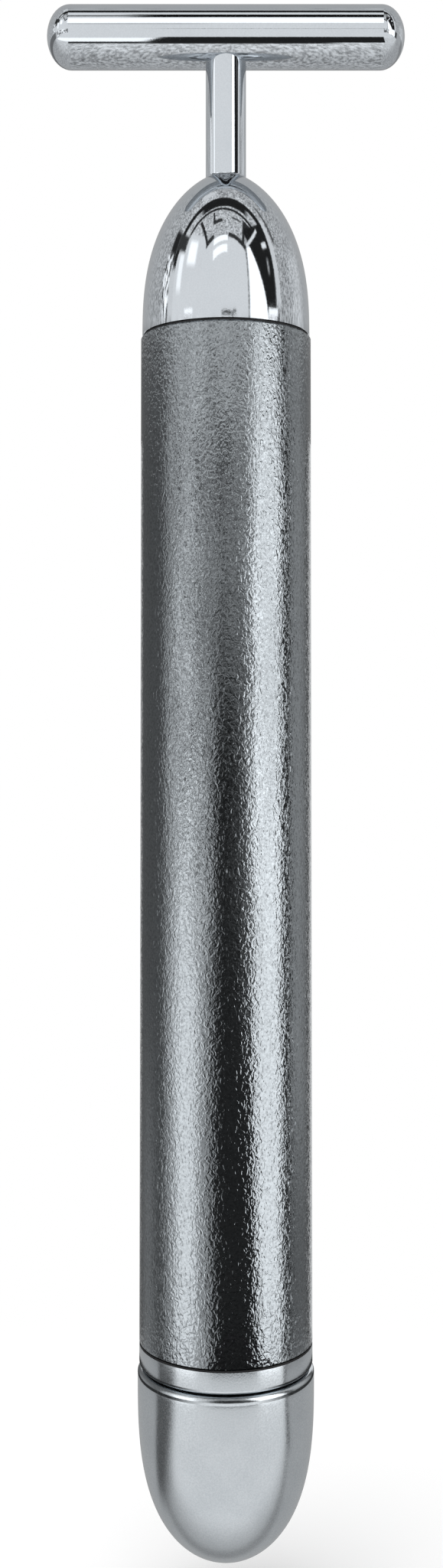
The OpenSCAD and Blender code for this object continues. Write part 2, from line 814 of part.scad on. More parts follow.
// Slotted copper commutator on the shaft
module commutator() {
  slot_w = 0.2;
  slot_depth = 0.4;
  color([0.75, 0.45, 0.22])
    translate([0, 0, motor_z + commutator_from])
      difference() {
        cylinder(h = commutator_len, r = commutator_r, $fn = round_sides);
        translate([0, 0, -1])
          cylinder(h = commutator_len + 2, r = shaft_d / 2 + eps, $fn = round_sides);
        for (slot = [0:2])
          rotate([0, 0, 60 + 120 * slot])
            translate([-slot_w / 2, commutator_r - slot_depth, -1])
              cube([slot_w, slot_depth + 1, commutator_len + 2]);
      }
}

// Half-round weight, pressed on the shaft off centre, that makes the bar shake
module eccentric_weight() {
  weight_hub_r = shaft_d / 2 + 0.9;
  color([0.55, 0.54, 0.5])
    translate([0, 0, weight_z])
      difference() {
        union() {
          cylinder(h = weight_len, r = weight_hub_r, $fn = round_sides);
          ring_plate(weight_r, weight_hub_r - 0.2, 180, 0, weight_len);
        }
        translate([0, 0, -1])
          cylinder(h = weight_len + 2, r = shaft_d / 2 + eps, $fn = round_sides);
      }
}

t_head();
head_gasket();
handle_sleeve();
liner_tube();
threaded_collar();
cap_seal_ring();
end_cap();
cap_contact_plate();
cap_contact_spring();
cell_can();
cell_wrap();
cell_seal_washer();
cell_positive_button();
cell_negative_plate();
contact_carrier();
positive_contact();
negative_strip();
red_lead();
black_lead();
motor_holder();
holder_screws();
motor_can();
motor_end_bell();
motor_bearings();
motor_magnets();
motor_brushes();
motor_shaft();
armature_core();
armature_windings();
commutator();
eccentric_weight();
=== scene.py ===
import math

import bpy
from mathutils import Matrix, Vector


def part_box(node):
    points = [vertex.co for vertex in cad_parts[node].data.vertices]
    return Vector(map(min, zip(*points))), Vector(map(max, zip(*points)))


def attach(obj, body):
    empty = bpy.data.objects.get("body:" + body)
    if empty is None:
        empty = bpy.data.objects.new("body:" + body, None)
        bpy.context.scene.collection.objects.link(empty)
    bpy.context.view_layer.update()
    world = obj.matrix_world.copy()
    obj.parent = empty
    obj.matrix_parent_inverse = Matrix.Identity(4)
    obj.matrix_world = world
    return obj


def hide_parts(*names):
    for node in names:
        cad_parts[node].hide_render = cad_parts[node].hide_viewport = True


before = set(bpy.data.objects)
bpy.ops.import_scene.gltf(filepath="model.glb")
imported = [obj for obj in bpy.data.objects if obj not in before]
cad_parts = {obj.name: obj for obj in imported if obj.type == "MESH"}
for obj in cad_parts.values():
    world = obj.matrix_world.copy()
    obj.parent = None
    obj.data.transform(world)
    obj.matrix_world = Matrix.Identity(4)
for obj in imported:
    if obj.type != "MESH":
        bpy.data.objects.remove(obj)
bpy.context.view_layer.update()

# Every size below is in metres, so one millimetre is written once and used throughout.
mm = 0.001
scene = bpy.context.scene


# Camera
# It stands in front of the handle's middle and looks along +Y, a little upwards,
# from the short distance that the outlines of dome and cap call for.
camera_distance = 168.3 * mm
camera_height = 81.34 * mm
camera_tilt = math.radians(91.99)
camera_data = bpy.data.cameras.new("camera")
camera = bpy.data.objects.new("camera", camera_data)
scene.collection.objects.link(camera)
scene.camera = camera
camera.location = (0, -camera_distance, camera_height)
camera.rotation_euler = (camera_tilt, 0, 0)
camera_data.sensor_fit = "VERTICAL"
camera_data.sensor_height = 36
camera_data.lens = 38.8
camera_data.shift_x = -0.0028
camera_data.shift_y = -0.076
camera_data.clip_start = 10 * mm


# Studio: white room, pale floor and one wide soft lamp overhead
# The floor lies just below the lowest point that the unscrewed cap reaches,
# and keeps the soft shadow near the object before it runs out into plain white.
def node(tree, kind, inputs=None, **settings):
    made = tree.nodes.new(kind)
    for name, value in settings.items():
        setattr(made, name, value)
    for key, value in (inputs or {}).items():
        if isinstance(value, bpy.types.NodeSocket):
            tree.links.new(value, made.inputs[key])
        else:
            made.inputs[key].default_value = value
    return made


def math_of(tree, operation, *values):
    made = node(tree, "ShaderNodeMath", dict(enumerate(values)), operation=operation)
    return made.outputs[0]


def ramp_of(tree, value, from_low, from_high, to_low=0.0, to_high=1.0):
    made = node(tree, "ShaderNodeMapRange", {
        "Value": value, "From Min": from_low, "From Max": from_high,
        "To Min": to_low, "To Max": to_high,
    }, interpolation_type="SMOOTHSTEP")
    return made.outputs["Result"]


def place_on(tree):
    """Where a point lies on the piece itself."""
    return node(tree, "ShaderNodeTexCoord").outputs["Object"]


def empty_material(name):
    material = bpy.data.materials.new(name)
    material.use_nodes = True
    material.node_tree.nodes.clear()
    return material, material.node_tree


def finish_surface(tree, shader):
    node(tree, "ShaderNodeOutputMaterial", {"Surface": shader})


room_light = 0.85
white = (1, 1, 1, 1)
world = bpy.data.worlds.new("white_room")
scene.world = world
world.use_nodes = True
tree = world.node_tree
tree.nodes.clear()
world.cycles.sampling_method = "NONE"
rays = node(tree, "ShaderNodeLightPath")
seen = math_of(tree, "MAXIMUM", rays.outputs["Is Camera Ray"], rays.outputs["Is Glossy Ray"])
seen = math_of(tree, "MAXIMUM", seen, rays.outputs["Is Transmission Ray"])
room = node(tree, "ShaderNodeBackground", {
    "Color": white, "Strength": ramp_of(tree, seen, 0, 1, room_light, 1),
})
node(tree, "ShaderNodeOutputWorld", {"Surface": room.outputs[0]})

scene.view_settings.view_transform = "Standard"

floor_z = -5.5 * mm
floor_width = 6
shadow_fades_from = 20 * mm
shadow_gone_at = 90 * mm
bpy.ops.object.select_all(action="DESELECT")
bpy.ops.mesh.primitive_plane_add(size=floor_width, location=(0, 0, floor_z))
floor = bpy.context.object
floor.name = "floor"
floor_material, tree = empty_material("floor_paint")
rays = node(tree, "ShaderNodeLightPath")
far = node(tree, "ShaderNodeVectorMath", {0: place_on(tree)}, operation="LENGTH").outputs["Value"]
far = ramp_of(tree, far, shadow_fades_from, shadow_gone_at)
plain = math_of(tree, "MULTIPLY", rays.outputs["Is Camera Ray"], far)
plain = math_of(tree, "MAXIMUM", plain, rays.outputs["Is Glossy Ray"])
plain = math_of(tree, "MAXIMUM", plain, rays.outputs["Is Transmission Ray"])
paint = node(tree, "ShaderNodeBsdfDiffuse", {"Color": (0.97, 0.97, 0.97, 1)})
glow = node(tree, "ShaderNodeEmission", {"Color": white, "Strength": 1.0})
floor_mix = node(tree, "ShaderNodeMixShader", {0: plain, 1: paint.outputs[0], 2: glow.outputs[0]})
finish_surface(tree, floor_mix.outputs[0])
floor.data.materials.append(floor_material)

bpy.ops.object.light_add(type="AREA", location=(-0.15, -0.25, 0.95))
lamp = bpy.context.object
lamp.name = "overhead_lamp"
lamp.rotation_euler = (math.radians(-15), math.radians(-9), 0)
lamp.data.size = 0.6
lamp.data.energy = 3.8
lamp.visible_glossy = False


# Reflectors: what the bright metal mirrors
# A tent stands round the handle and a wide one over the head, both painted with light and dark
# panels, and four cards help them. Only reflections see them: they cast no light or shade.
def only_reflected(obj, material):
    obj.data.materials.append(material)
    obj.visible_camera = False
    obj.visible_diffuse = False
    obj.visible_shadow = False
    obj.visible_transmission = False
    obj.visible_volume_scatter = False
    material.cycles.emission_sampling = "NONE"


def mixed(tree, share, without, full):
    made = node(tree, "ShaderNodeMix", {"Factor": share, "A": without, "B": full}, data_type="FLOAT")
    return made.outputs["Result"]


def inside(tree, value, low, high, soft):
    rise = ramp_of(tree, value, low - soft / 2, low + soft / 2)
    fall = ramp_of(tree, value, high - soft / 2, high + soft / 2, 1, 0)
    return math_of(tree, "MULTIPLY", rise, fall)


def painted(tree, light, *panels):
    """Panels painted one over the other: a level, then spans of (coordinate, low, high, softness)."""
    for level, *spans in panels:
        cover = 1.0
        for span in spans:
            cover = math_of(tree, "MULTIPLY", cover, inside(tree, *span))
        light = mixed(tree, cover, light, level)
    return light


def degrees_round(tree, x, y):
    """Degrees round the Z axis: 0 towards the camera, positive towards +X."""
    forward = math_of(tree, "MULTIPLY", y, -1.0)
    turn = math_of(tree, "ARCTAN2", x, forward)
    return math_of(tree, "MULTIPLY", turn, math.degrees(1))


def glow_with(tree, light):
    """Plain light card. A mirror image of a mirror image is dimmer, as in a real narrow gap."""
    second_image = 0.6
    depth = node(tree, "ShaderNodeLightPath").outputs["Ray Depth"]
    light = math_of(tree, "MULTIPLY", light, ramp_of(tree, depth, 1.4, 1.6, 1, second_image))
    return node(tree, "ShaderNodeEmission", {"Color": white, "Strength": light}).outputs[0]


def glow_where(tree, shown, light):
    """A card that glows where it is shown. Elsewhere it isn't there."""
    clear = node(tree, "ShaderNodeBsdfTransparent").outputs[0]
    return node(tree, "ShaderNodeMixShader", {0: shown, 1: clear, 2: glow_with(tree, light)}).outputs[0]


def back_side(tree):
    return node(tree, "ShaderNodeNewGeometry").outputs["Backfacing"]


def front_side(tree):
    return math_of(tree, "SUBTRACT", 1.0, back_side(tree))


def stretched(tree, place, factors):
    made = node(tree, "ShaderNodeVectorMath", {0: place, 1: factors}, operation="MULTIPLY")
    return made.outputs[0]


def mottled(tree, place, size, light, low, high):
    """The same light on an uneven card: soft patches between low and high times as bright."""
    patches = node(tree, "ShaderNodeTexNoise", {"Vector": place, "Scale": 1 / size, "Detail": 3.0})
    patches = ramp_of(tree, patches.outputs["Fac"], 0.35, 0.65, low, high)
    return math_of(tree, "MULTIPLY", light, patches)


def place_in_mm(tree):
    place = node(tree, "ShaderNodeVectorMath", {0: place_on(tree), "Scale": 1 / mm}, operation="SCALE")
    return node(tree, "ShaderNodeSeparateXYZ", {0: place.outputs[0]}).outputs


# The tent round the handle. Its heights are given in millimetres and its turns in degrees.
tent_r = 66.8 * mm
tent_top = 119.97 * mm
tent_foot = floor_z + 0.1 * mm
tent_sides = 180
bpy.ops.object.select_all(action="DESELECT")
bpy.ops.mesh.primitive_cylinder_add(vertices=tent_sides, radius=tent_r, depth=tent_top - tent_foot,
                                    location=(0, 0, (tent_top + tent_foot) / 2))
handle_tent = bpy.context.object
handle_tent.name = "handle_tent"
bpy.ops.object.transform_apply(location=True)
bpy.ops.object.mode_set(mode="EDIT")
bpy.ops.mesh.select_mode(type="FACE")
bpy.ops.mesh.select_all(action="DESELECT")
bpy.ops.object.mode_set(mode="OBJECT")
for face in handle_tent.data.polygons:
    face.select = abs(face.normal.z) > 0.5 and face.center.z > 0
bpy.ops.object.mode_set(mode="EDIT")
bpy.ops.mesh.delete(type="FACE")
bpy.ops.mesh.select_mode(type="VERT")
bpy.ops.object.mode_set(mode="OBJECT")
tent_paint, tree = empty_material("handle_tent_paint")
x, y, z = place_in_mm(tree)
turn = degrees_round(tree, x, y)

# What the sleeve mirrors: two bright walls, a dark gap between them, dim sides
leaning = math_of(tree, "MULTIPLY_ADD", z, 0.2, turn)
light = painted(
    tree, 0.29,
    (0.42, (turn, 90, 118, 14)),
    (0.20, (turn, 88, 132, 10), (z, -40, 24, 30)),
    (0.13, (turn, -155, -80, 8)),
    (0.27, (turn, -134, -104, 24), (z, -40, 32, 40)),
    (0.07, (turn, 132, 143, 5)),
    (0.8, (turn, 144, 200, 4)),
    (0.8, (turn, -200, -155, 4), (z, 20, 200, 50)),
    (0.50, (turn, -82, -6, 14)),
    (0.72, (turn, -74, -30, 14), (z, 30, 112, 20)),
    (1.45, (turn, -66, -37, 14), (z, -60, 68, 52)),
    (0.38, (turn, -14, 40, 12)),
    (0.05, (turn, -15, 24, 20), (z, -60, 96, 46)),
    (1.6, (turn, 33, 74, 8)),
    (0.03, (turn, -18, 80, 12), (leaning, -60, 41, 7), (z, -60, 50, 34)),
    (0.04, (turn, 77, 88, 3)),
)
wall_patch = 9 * mm
uneven = math_of(tree, "MULTIPLY", ramp_of(tree, z, 20, 80), ramp_of(tree, light, 0.9, 1.4, 1, 0.5))
uneven = math_of(tree, "MULTIPLY", uneven, inside(tree, turn, -76, 72, 8))
sleeve_light = mixed(tree, uneven, light, mottled(tree, place_on(tree), wall_patch, light, 0.25, 1.75))

# What collar and cap mirror: a light floor that dims behind, with a dark edge across
wedge = math_of(tree, "MULTIPLY_ADD", x, -0.6, y)
streak = math_of(tree, "MULTIPLY_ADD", x, 0.33, y)
across = math_of(tree, "MULTIPLY_ADD", x, 0.1, y)
floor_light = painted(
    tree, ramp_of(tree, y, -16, -3, 0.70, 0.38),
    (0.27, (across, -4.5, -1, 3)),
    (0.09, (x, -90, -20, 16), (y, -90, 5, 5), (wedge, 10, 200, 16)),
    (0.03, (x, 43, 90, 10), (streak, 6.5, 11, 2)),
    (0.32, (turn, 84, 120, 8), (z, -4, 20, 2)),
)
low_part = ramp_of(tree, z, -2.6, -0.6, 1, 0)
finish_surface(tree, glow_with(tree, mixed(tree, low_part, sleeve_light, floor_light)))
only_reflected(handle_tent, tent_paint)

# The wide tent over the head. Directions are taken from its centre, inside the dome:
# the turn round Z and the rise above level in degrees, and the plain direction as x and y.
head_centre = 130 * mm
head_reach = 0.4
bpy.ops.mesh.primitive_uv_sphere_add(segments=128, ring_count=64, radius=head_reach)
head_tent = bpy.context.object
head_tent.name = "head_tent"
tent_paint, tree = empty_material("head_tent_paint")
place = node(tree, "ShaderNodeVectorMath", {0: place_on(tree)}, operation="NORMALIZE").outputs[0]
x, y, z = node(tree, "ShaderNodeSeparateXYZ", {0: place}).outputs
turn = degrees_round(tree, x, y)
rise = math_of(tree, "MULTIPLY", math_of(tree, "ARCSINE", z), math.degrees(1))
outer_arc = math_of(tree, "MULTIPLY_ADD", x, 0.06, y)
inner_arc = math_of(tree, "MULTIPLY_ADD", x, 0.09, y)
panel_side = math_of(tree, "MULTIPLY_ADD", y, 0.3, x)
card_side = math_of(tree, "MULTIPLY_ADD", rise, 0.8, turn)
card_top = math_of(tree, "MULTIPLY_ADD", turn, -0.333, rise)
light = painted(
    tree, 0.40,
    (0.54, (turn, -138, -122, 8), (rise, 30, 46, 8)),
    (0.50, (turn, -134, -103, 16), (rise, -30, 32, 8)),
    (0.56, (turn, 104, 130, 14), (rise, -30, 27, 8)),
    (0.65, (turn, -106, -68, 12), (rise, 66, 80, 6)),
    (0.55, (turn, -85, 74, 6), (rise, -30, 78, 6)),
    (0.72, (turn, -85, 32, 5), (rise, -30, 44, 2)),
    (0.12, (turn, -106, -102, 2), (rise, -30, 30, 6)),
    (0.10, (turn, -97, -91, 3), (rise, 14, 30, 6)),
)
# The grey panel above the front, its dark rim and the strip lights below it
light = painted(
    tree, light,
    (0.50, (x, -0.5, 0.56, 0.01), (y, -0.69, -0.30, 0.01), (panel_side, -0.595, 1, 0.01)),
    (0.02, (panel_side, -0.612, -0.572, 0.008), (y, -0.66, -0.36, 0.02)),
    (0.03, (x, -0.42, -0.25, 0.02), (y, -0.685, -0.645, 0.01)),
    (0.03, (x, 0.06, 0.42, 0.02), (y, -0.705, -0.665, 0.01)),
    (0.03, (x, 0.34, 0.55, 0.01), (y, -0.70, -0.44, 0.01)),
    (0.45, (x, 0.39, 0.44, 0.01), (y, -0.66, -0.52, 0.02)),
    (0.03, (x, -0.25, -0.215, 0.006), (y, -0.53, -0.38, 0.006)),
    (0.03, (x, -0.26, -0.07, 0.006), (y, -0.545, -0.50, 0.006)),
    (0.10, (x, 0.12, 0.30, 0.01), (y, -0.50, -0.475, 0.006)),
    (1.2, (x, -0.26, 0.04, 0.02), (y, -0.735, -0.69, 0.01)),
    (1.2, (x, -0.28, 0.03, 0.02), (y, -0.815, -0.765, 0.01)),
    (1.2, (turn, -60, -46, 4), (rise, 28, 40, 4)),
    (1.1, (turn, -73, -66, 3), (rise, 18, 32, 4)),
)
# The two dark arcs, the dark patch where they end on the left, and the grey side beyond it
light = painted(
    tree, light,
    (0.02, (inner_arc, -0.385, -0.345, 0.01), (turn, -66, 60, 4)),
    (0.015, (outer_arc, -0.23, -0.15, 0.02)),
    (0.015, (outer_arc, -0.32, -0.15, 0.02), (x, -0.45, 0.40, 0.1)),
    (0.02, (turn, -95, -83, 3), (rise, 27, 42, 4)),
    (0.04, (turn, -84, -66, 3), (rise, 33, 42, 3)),
    (0.40, (turn, -200, -97, 3), (rise, -30, 66, 4)),
)
# The right side: a white card, a black one beside it and thin strips along them
light = painted(
    tree, light,
    (0.35, (turn, 30.5, 33, 1.5), (rise, -30, 36, 3)),
    (1.25, (turn, 33, 80, 1.5), (card_side, -30, 69, 2), (rise, -30, 38, 2)),
    (0.015, (card_side, 69, 200, 2), (turn, 33, 72.5, 1.5), (rise, 12.9, 50, 1)),
    (0.8, (card_top, 26, 28.5, 1), (turn, 33, 58, 2)),
    (0.9, (turn, 60, 68, 3), (rise, 35.5, 38.5, 1.5)),
    (0.30, (turn, 63, 66, 2), (rise, 24, 30, 3)),
    (0.66, (turn, 73.5, 81, 2), (rise, 13.5, 52, 4)),
    (0.08, (turn, 83.5, 87, 2), (rise, 36, 60, 4)),
)
# Specks on the left, and the marks that the dome's foot mirrors
light = painted(
    tree, light,
    (0.66, (turn, -87, -78, 1), (rise, 11, 25, 4)),
    (mottled(tree, place, 0.05, 0.55, 0.0, 2.2), (turn, -99, -87, 2), (rise, 12, 30, 4)),
    (0.03, (turn, -6, 14, 3), (rise, 12.5, 13.1, 0.1)),
    (1.2, (turn, -58, -46, 3), (rise, 12.6, 13.4, 0.3)),
    (1.2, (turn, 60, 75, 3), (rise, 12.4, 13.6, 0.4)),
)
# The middle greys are grainy, except behind
grainy = ramp_of(tree, light, 0.5, 0.68, 1, 0)
grainy = math_of(tree, "MULTIPLY", grainy, ramp_of(tree, light, 0.1, 0.3))
grainy = math_of(tree, "MULTIPLY", grainy, inside(tree, turn, -125, 125, 60))
grainy_light = mottled(tree, stretched(tree, place, (1, 1, 3.5)), 0.035, light, 0.45, 1.55)
upper_light = mixed(tree, grainy, light, grainy_light)

# Low down it carries on the bands of the handle tent, for the upper end of the sleeve
light = painted(
    tree, 0.24,
    (0.15, (turn, -165, -82, 6)),
    (0.64, (turn, -80, -24, 14)),
    (0.44, (turn, -24, 40, 12)),
    (1.5, (turn, 36, 75, 6)),
    (0.05, (turn, 76, 87, 3)),
    (0.38, (turn, 89, 120, 8)),
)
uneven = inside(tree, turn, -76, 72, 8)
lower_light = mixed(tree, uneven, light, mottled(tree, place, 0.13, light, 0.25, 1.75))
above = ramp_of(tree, rise, 10.5, 12.5)
finish_surface(tree, glow_with(tree, mixed(tree, above, lower_light, upper_light)))
head_tent.location.z = head_centre
only_reflected(head_tent, tent_paint)

# The shelf that closes the wide tent at the dome's foot: a whole disc, so the object stands through it.
# The bar's underside mirrors its dark strip. From below it isn't there, so the sleeve looks up past it.
shelf_z = 120.03 * mm
shelf_streak = 0.28 * mm
bpy.ops.mesh.primitive_circle_add(vertices=128, radius=head_reach, fill_type="NGON", location=(0, 0, shelf_z))
shelf = bpy.context.object
shelf.name = "head_shelf"
bpy.ops.object.transform_apply(location=True)
shelf_paint, tree = empty_material("head_shelf_paint")
x, y, z = place_in_mm(tree)
drawn_out = stretched(tree, place_on(tree), (1.2, 0.05, 1))
light = mottled(tree, drawn_out, shelf_streak, ramp_of(tree, y, -30, 10, 0.62, 0.36), 0.45, 1.55)
light = painted(
    tree, light,
    (0.04, (x, -25, -12, 2), (y, -43, -34, 2)),
    (1.15, (x, -200, -11, 2), (y, -72, -43, 3)),
    (0.72, (x, -200, 200, 2), (y, -500, -72, 4)),
    (0.03, (x, -12, 16, 4), (y, -80, -33, 3)),
    (0.015, (x, -12, 31, 2), (y, -84, -37, 4)),
)
finish_surface(tree, glow_where(tree, front_side(tree), light))
only_reflected(shelf, shelf_paint)


# A black card that slopes down and out from the sleeve's low end, almost touching it, at the front.
# It is seen only from above, and keeps the sleeve's hammered low end dark.
def cone_card(name, low_r, low_z, high_r, high_z):
    bpy.ops.mesh.primitive_cone_add(vertices=tent_sides, radius1=low_r, radius2=high_r, depth=high_z - low_z,
                                    end_fill_type="NOTHING", location=(0, 0, (low_z + high_z) / 2))
    made = bpy.context.object
    made.name = name
    bpy.ops.object.transform_apply(location=True)
    return made


tube_low, tube_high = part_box("handle_sleeve")
skirt_foot_r = 62 * mm
skirt_foot_z = 3.1 * mm
skirt_top_r = tube_high.x + 0.04 * mm
skirt_top_z = tube_low.z + 0.03 * mm
dark_skirt = cone_card("dark_skirt", skirt_foot_r, skirt_foot_z, skirt_top_r, skirt_top_z)
skirt_paint, tree = empty_material("dark_skirt_paint")
x, y, z = place_in_mm(tree)
shown = inside(tree, degrees_round(tree, x, y), -17, 40, 8)
shown = math_of(tree, "MULTIPLY", shown, front_side(tree))
finish_surface(tree, glow_where(tree, shown, 0.02))
only_reflected(dark_skirt, skirt_paint)

# A flat ring of card close round the cap, 0.75 mm below its rim: the collar's lower edge mirrors it
ring_out_r = 10.6 * mm
ring_in_r = 8.75 * mm
ring_z = 17.74 * mm
ring_rise = 0.01 * mm
groove_ring = cone_card("groove_ring", ring_out_r, ring_z, ring_in_r, ring_z + ring_rise)
ring_paint, tree = empty_material("groove_ring_paint")
x, y, z = place_in_mm(tree)
light = painted(tree, 0.03, (0.8, (degrees_round(tree, x, y), -26, 34, 30)))
finish_surface(tree, glow_where(tree, front_side(tree), light))
only_reflected(groove_ring, ring_paint)

# A curved backdrop round the front, 300 mm from the T bar, in bands that the bar mirrors lengthwise.
# Lifts are degrees above level. Light that left from lower down has come further when it
# gets here, and passes through: only the bar mirrors the bands.
bar_axis_z = 150.55 * mm
strip_r = 300 * mm
strip_width = 340 * mm
strip_limit = strip_r + 2 * mm
bpy.ops.mesh.primitive_cylinder_add(vertices=120, radius=strip_r, depth=strip_width, end_fill_type="NOTHING",
                                    rotation=(0, math.radians(90), 0), location=(0, 0, bar_axis_z))
bar_strip = bpy.context.object
bar_strip.name = "bar_strip"
bpy.ops.object.transform_apply(location=False, rotation=True, scale=False)
strip_paint, tree = empty_material("bar_strip_paint")
x, y, z = place_in_mm(tree)
lift = math_of(tree, "ARCTAN2", z, math_of(tree, "MULTIPLY", y, -1.0))
lift = math_of(tree, "MULTIPLY", lift, math.degrees(1))
light = painted(
    tree, 0.72,
    (0.55, (lift, 24.3, 27.8, 1.6), (x, -200, -10, 16)),
    (1.35, (lift, 29.9, 48.1, 3.2)),
    (0.0, (lift, 52.2, 63.7, 1.6), (x, -37, 200, 10)),
    (0.15, (lift, 54.9, 61, 1.6), (x, -200, -32, 10)),
    (0.01, (lift, 73.6, 84.5, 1.6)),
    (0.45, (lift, 84.5, 150, 1.6)),
    (0.03, (lift, 8.0, 8.6, 0.1), (x, -30, 72, 15)),
)
shown = inside(tree, lift, -14.6, 91.5, 0.5)
shown = math_of(tree, "MULTIPLY", shown, back_side(tree))
way = node(tree, "ShaderNodeLightPath").outputs["Ray Length"]
shown = math_of(tree, "MULTIPLY", shown, math_of(tree, "LESS_THAN", way, strip_limit))
finish_surface(tree, glow_where(tree, shown, light))
only_reflected(bar_strip, strip_paint)


# Head: polished chrome plating on a zinc casting
# Dome, spigot and neck are turned as one outline; the bar across the top is
# turned on its own axis, and both are fused where the neck meets the bar.
first_dot = 0.1 * mm
same_point = 0.0005 * mm
sharp_edge = math.radians(30)


def drawn(name, points):
    """A line through points of (radius, height), left in edit mode."""
    bpy.ops.object.select_all(action="DESELECT")
    bpy.ops.mesh.primitive_plane_add(size=first_dot, location=(0, 0, 0))
    made = bpy.context.object
    made.name = name
    made.data.name = name
    bpy.ops.object.mode_set(mode="EDIT")
    bpy.ops.mesh.select_all(action="SELECT")
    bpy.ops.mesh.merge(type="CENTER")
    bpy.ops.transform.translate(value=(points[0][0], 0, points[0][1]))
    for (r_0, z_0), (r_1, z_1) in zip(points, points[1:]):
        bpy.ops.mesh.extrude_region_move(TRANSFORM_OT_translate={"value": (r_1 - r_0, 0, z_1 - z_0)})
    bpy.ops.mesh.select_all(action="SELECT")
    bpy.ops.mesh.remove_doubles(threshold=same_point)
    return made


def turned(name, outline, closed=True, steps=192):
    """A body of revolution round Z."""
    made = drawn(name, outline + (outline[:1] if closed else []))
    bpy.ops.mesh.spin(steps=steps, angle=2 * math.pi, center=(0, 0, 0), axis=(0, 0, 1))
    bpy.ops.mesh.select_all(action="SELECT")
    bpy.ops.mesh.remove_doubles(threshold=same_point)
    bpy.ops.mesh.normals_make_consistent(inside=False)
    bpy.ops.object.mode_set(mode="OBJECT")
    bpy.ops.object.shade_smooth_by_angle(angle=sharp_edge)
    return made


def arc(centre_r, centre_z, r, start, end, steps):
    """Points of a round edge, from one angle to another, in degrees."""
    angles = [math.radians(start + (end - start) * i / steps) for i in range(steps + 1)]
    return [(centre_r + r * math.cos(a), centre_z + r * math.sin(a)) for a in angles]


def shell_r(r, length, fullness, roundness, h):
    """Radius of a closed end, at height h above its widest section."""
    return r * max(0, 1 - (h / length) ** fullness) ** (1 / roundness)


def crowded(length, steps):
    """Heights that crowd towards the tip, where an outline turns fastest."""
    return [length * math.sin(math.radians(90) * i / steps) for i in range(steps + 1)]


gasket_low, gasket_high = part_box("head_gasket")
head_low, head_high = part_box("t_head")
dome_z = gasket_high.z
bar_r = 3.15 * mm
bar_half = head_high.x
bar_z = head_high.z - bar_r
bar_bulge = 2.4 * mm
bulge_steps = 12
dome_r = 8.37 * mm
dome_h = 16.6 * mm
dome_wall = 2 * mm
dome_fullness = 2.575
dome_roundness = 1.637
stem_r = 2.025 * mm
stem_fillet = 0.4 * mm
neck_sunk = 0.6 * bar_r
spigot_r = 7.85 * mm
hollow_r = 5.65 * mm
spigot_edge = 0.3 * mm
outline_steps = 48

stem_join = dome_h * (1 - ((stem_r + stem_fillet) / dome_r) ** dome_roundness) ** (1 / dome_fullness)
inner_h = dome_h - 2 * dome_wall
hollow = [(hollow_r, head_low.z)]
for h in crowded(inner_h, outline_steps):
    r = shell_r(dome_r - dome_wall, inner_h, dome_fullness, dome_roundness, h)
    hollow.append((min(hollow_r, r), dome_z + h))
spigot = [(spigot_r - spigot_edge, head_low.z), (spigot_r, head_low.z + spigot_edge), (spigot_r, dome_z)]
dome = [(shell_r(dome_r, dome_h, dome_fullness, dome_roundness, h), dome_z + h)
        for h in crowded(stem_join, outline_steps)]
root = arc(stem_r + stem_fillet, dome_z + stem_join + stem_fillet, stem_fillet, 225, 180, 8)
neck_top = bar_z - neck_sunk
neck = [(stem_r, neck_top), (0, neck_top)]
outline = hollow[::-1] + spigot + dome + root[1:] + neck
head = turned("chrome_head", outline, closed=False)

bulge = [(bar_r * c, bar_half - bar_bulge + bar_bulge * s) for c, s in arc(0, 0, 1, 0, 90, bulge_steps)]
bar_outline = [(r, -h) for r, h in bulge[::-1]] + bulge
bar = turned("bar", bar_outline, closed=False)
bar.rotation_euler = (0, math.radians(90), 0)
bar.location = (0, 0, bar_z)
bpy.ops.object.transform_apply(location=True, rotation=True)
bpy.ops.object.select_all(action="DESELECT")
bpy.context.view_layer.objects.active = head
head.select_set(True)
fuse = head.modifiers.new("fuse", "BOOLEAN")
fuse.operation = "UNION"
fuse.solver = "EXACT"
fuse.object = bar
bpy.ops.object.modifier_apply(modifier="fuse")
bpy.data.objects.remove(bar)
bpy.ops.object.shade_smooth_by_angle(angle=sharp_edge)


def principled(tree, **constants):
    """A surface whose even values sit on its own sockets."""
    made = node(tree, "ShaderNodeBsdfPrincipled")
    for name, value in constants.items():
        made.inputs[name.replace("_", " ")].default_value = value
    return made


def noise(tree, place, size, detail=2.0, roughness=0.5, distortion=0.0):
    made = node(tree, "ShaderNodeTexNoise", {
        "Vector": place, "Scale": 1 / size, "Detail": detail,
        "Roughness": roughness, "Distortion": distortion,
    })
    return made.outputs["Fac"]


def tones(tree, value, dark, light, low=0.35, high=0.65):
    """A colour that goes from dark to light as the value goes from low to high."""
    made = node(tree, "ShaderNodeValToRGB", {"Fac": value})
    made.color_ramp.elements[0].position = low
    made.color_ramp.elements[1].position = high
    made.color_ramp.elements[0].color = (*dark, 1)
    made.color_ramp.elements[1].color = (*light, 1)
    return made.outputs["Color"]


def relief(tree, height, depth, under=None):
    made = node(tree, "ShaderNodeBump", {"Height": height, "Distance": depth, "Strength": 1.0})
    if under is not None:
        tree.links.new(under, made.inputs["Normal"])
    return made.outputs["Normal"]


def surfaced(tree, surface, colour, roughness, shape):
    """Joins colour, gloss and relief to the surface and ends the material."""
    tree.links.new(colour, surface.inputs["Base Color"])
    tree.links.new(roughness, surface.inputs["Roughness"])
    tree.links.new(shape, surface.inputs["Normal"])
    finish_surface(tree, surface.outputs[0])


